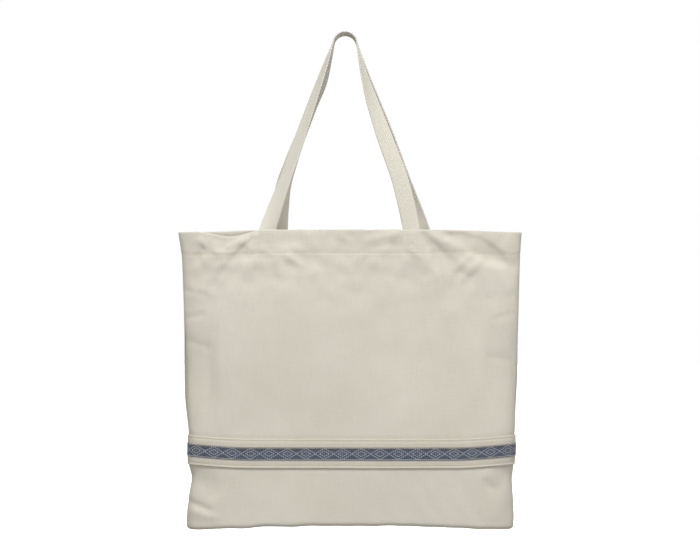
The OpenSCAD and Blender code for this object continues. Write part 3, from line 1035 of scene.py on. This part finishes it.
def ribbon_material():
    """Slate blue jacquard ribbon: a row of diamonds drawn in paler dots, between dark edges."""
    s = Shader("diamond_ribbon", roughness=0.62, sheen=0.1)
    width = RIBBON_HIGH.z - RIBBON_LOW.z
    repeat = 26.5 * MM
    cell = s.math("FRACT", s.math("MULTIPLY", s.x, 1 / repeat))
    zigzag = s.math("MULTIPLY", s.math("ABSOLUTE", s.math("SUBTRACT", cell, 0.5)), 2.0)
    level = s.math("MULTIPLY", s.math("ABSOLUTE", s.y), 2 / width)
    out = s.math("MULTIPLY_ADD", zigzag, 0.8, level)
    rings = s.range(s.wave(out, 0.42, math.pi / 2), 0.0, 0.9)
    rings = s.math("MULTIPLY", rings, s.range(out, 0.9, 1.0, 1.0, 0.0))
    lines = s.math("MULTIPLY", rings, s.range(level, 0.78, 0.86, 1.0, 0.0))
    dots = s.range(s.wave(s.x, 2.9 * MM), -0.5, 0.5, 0.2, 1.0)
    steps = s.range(s.wave(s.y, 1.5 * MM), -0.6, 0.4, 0.8, 1.0)
    pattern = s.math("MULTIPLY", lines, s.math("MULTIPLY", dots, steps))
    border = s.range(level, 0.86, 0.92)
    fine = s.math("MULTIPLY_ADD", s.wave(s.x, 0.7 * MM), 0.12, s.noise(s.place, 1400, 1.0))
    mottle = s.math("MULTIPLY_ADD", s.noise(s.place, 620, 1.0), 0.7, s.math("MULTIPLY", fine, 0.3))
    ground = s.mix(s.range(mottle, 0.35, 0.65), rgb(38, 44, 62), rgb(92, 98, 114))
    color = s.mix(s.math("MULTIPLY", pattern, 0.9), ground, rgb(184, 187, 188))
    color = s.mix(s.math("MULTIPLY", border, 0.75), color, rgb(58, 62, 78))
    yarns = s.math("MULTIPLY", s.wave(s.x, 0.6 * MM), 0.15)
    height = s.math("ADD", s.math("MULTIPLY", pattern, 0.8), yarns)
    return s.finish(color, height, 0.3 * MM, 0.7)


def thread_material():
    """Cotton thread, twisted, a little lighter than the canvas."""
    s = Shader("cotton_thread", roughness=0.7, sheen=0.15)
    twist = s.noise(s.object, 2600, 1.0, (1, 1, 3))
    color = s.mix(s.range(twist, 0.3, 0.7), rgb(205, 198, 180), rgb(228, 223, 208))
    return s.finish(color, twist, 0.1 * MM, 0.5)


def glowing_floor_material():
    """Pale floor that glows with painted light, weaker near the bag, so that it turns to plain white away
    from the bag.
    """
    s = Shader("glowing_pale_floor", roughness=0.8, sheen=0.0)
    tone = s.noise(s.object, 3.0, 3.0)
    color = s.mix(s.range(tone, 0.3, 0.7), rgb(250, 250, 249), rgb(255, 255, 255))
    away = s.tree.nodes.new("ShaderNodeVectorMath")
    away.operation = "LENGTH"
    s.join(away.inputs[0], s.object)
    # Painted light: the floor's own glow rises from 0.55 near its middle, under the bag, to 1.0 farther
    # away
    s.join(s.surface.inputs["Emission Color"], (1, 1, 1, 1))
    s.join(s.surface.inputs["Emission Strength"], s.range(away.outputs["Value"], 0.3, 2.5, 0.55, 1.0))
    return s.finish(color, tone, 0.1 * MM, 0.2)


# ---------------------------------------------------------------- stage

CAMERA_AWAY = 3.0  # metres from the camera to the bag
FRAME_W = 1.010  # metres across the picture at the bag
SENSOR_W = 36
FLOOR_DROP = 0.25  # the floor is this far below the hanging bag
FLOOR_R = 12


# The softboxes: place, width and height in metres, and power in watts
LIGHTS = {
    "key": ((0.0, -1.65, 2.45), (1.8, 0.9), 103),
    "left fill": ((-2.1, -1.9, 0.0), (1.2, 1.6), 8),
    "right fill": ((1.5, -2.5, -0.5), (1.2, 1.6), 19),
    "back fill": ((0.5, 2.8, 1.0), (2.4, 1.6), 60),
}
SURROUND_LIGHT, SURROUND_SEEN = 0.34, 1.0


def make_camera(middle):
    """The camera, level and square to the front."""
    camera = bpy.data.objects.new("camera", bpy.data.cameras.new("camera"))
    camera.location = (middle.x, -WEB_Y - CAMERA_AWAY, middle.z)
    camera.rotation_euler = (math.pi / 2, 0, 0)
    camera.data.sensor_width = SENSOR_W
    camera.data.lens = SENSOR_W * CAMERA_AWAY / FRAME_W
    camera.data.clip_end = 100
    bpy.context.scene.collection.objects.link(camera)
    bpy.context.scene.camera = camera


def make_floor():
    """The floor, whose painted glow throws no light onto the bag."""
    place = (0, 0, BASE_Z - FLOOR_DROP)
    bpy.ops.mesh.primitive_circle_add(vertices=96, radius=FLOOR_R, fill_type="NGON", location=place)
    floor = bpy.context.object
    floor.name = "floor"
    floor.data.materials.append(glowing_floor_material())
    floor.visible_diffuse = False


def softbox(name, place, size, watts, middle):
    light = bpy.data.lights.new(name, "AREA")
    light.shape = "RECTANGLE"
    light.size, light.size_y = size
    light.energy = watts
    obj = bpy.data.objects.new(name, light)
    obj.location = place
    obj.rotation_euler = (middle - Vector(place)).to_track_quat("-Z", "Y").to_euler()
    bpy.context.scene.collection.objects.link(obj)


def make_world():
    """Even light from all round, with plain white where the camera looks past the floor."""
    world = bpy.data.worlds.new("studio")
    bpy.context.scene.world = world
    world.use_nodes = True
    tree = world.node_tree
    seen = tree.nodes["Background"]
    lighting = tree.nodes.new("ShaderNodeBackground")
    for background, strength in ((seen, SURROUND_SEEN), (lighting, SURROUND_LIGHT)):
        background.inputs["Color"].default_value = (1, 1, 1, 1)
        background.inputs["Strength"].default_value = strength
    path = tree.nodes.new("ShaderNodeLightPath")
    mix = tree.nodes.new("ShaderNodeMixShader")
    tree.links.new(path.outputs["Is Camera Ray"], mix.inputs[0])
    tree.links.new(lighting.outputs[0], mix.inputs[1])
    tree.links.new(seen.outputs[0], mix.inputs[2])
    tree.links.new(mix.outputs[0], tree.nodes["World Output"].inputs[0])


def make_stage():
    middle = (CAD_LOW + CAD_HIGH) / 2
    make_camera(middle)
    make_floor()
    for name, (place, size, watts) in LIGHTS.items():
        softbox(name, place, size, watts, middle)
    make_world()
    bpy.context.scene.view_settings.view_transform = "Standard"


# ---------------------------------------------------------------- the whole bag

CANVAS_TONES = rgb(216, 211, 199), rgb(199, 193, 178)
BAND_TONES = rgb(207, 202, 188), rgb(189, 183, 167)


def dress(objects, material):
    for obj in objects:
        obj.data.materials.clear()
        obj.data.materials.append(material)


def make_all_rows(side):
    """The hem's, the band's and the ribbon's rows of stitches."""
    band_levels = [BAND_HIGH.z - STITCH_IN, BAND_LOW.z + STITCH_IN]
    ribbon_levels = [RIBBON_HIGH.z - RIBBON_STITCH_IN, RIBBON_LOW.z + RIBBON_STITCH_IN]
    return [
        make_rows(side, "hem", [RIM_Z - HEM_H + STITCH_IN], CANVAS / 2),
        make_rows(side, "band", band_levels, CLOTH_TO_BAND + BAND_T),
        make_rows(side, "ribbon", ribbon_levels, RIBBON_TOP),
    ]


def main():
    make_stage()
    canvas = canvas_material("natural_canvas", *CANVAS_TONES)
    band_cloth = canvas_material("band_canvas", *BAND_TONES)
    webbing = webbing_material()
    ribbon = ribbon_material()
    thread = thread_material()
    seams = []
    for kind, hand in SEAMS:
        cloth, lock = make_seam(kind, hand)
        dress([cloth], canvas)
        dress([lock], thread)
        seams += [cloth, lock]
    for side in ("front", "back"):
        panel = make_panel(side)
        band = make_band(side)
        tape = make_ribbon(side)
        handle = make_handle(side)
        rows = make_all_rows(side)
        boxes = [make_box_stitches(side, hand) for hand in ("left", "right")]
        dress([panel], canvas)
        dress([band], band_cloth)
        dress([tape], ribbon)
        dress([handle], webbing)
        dress(rows + boxes, thread)


main()
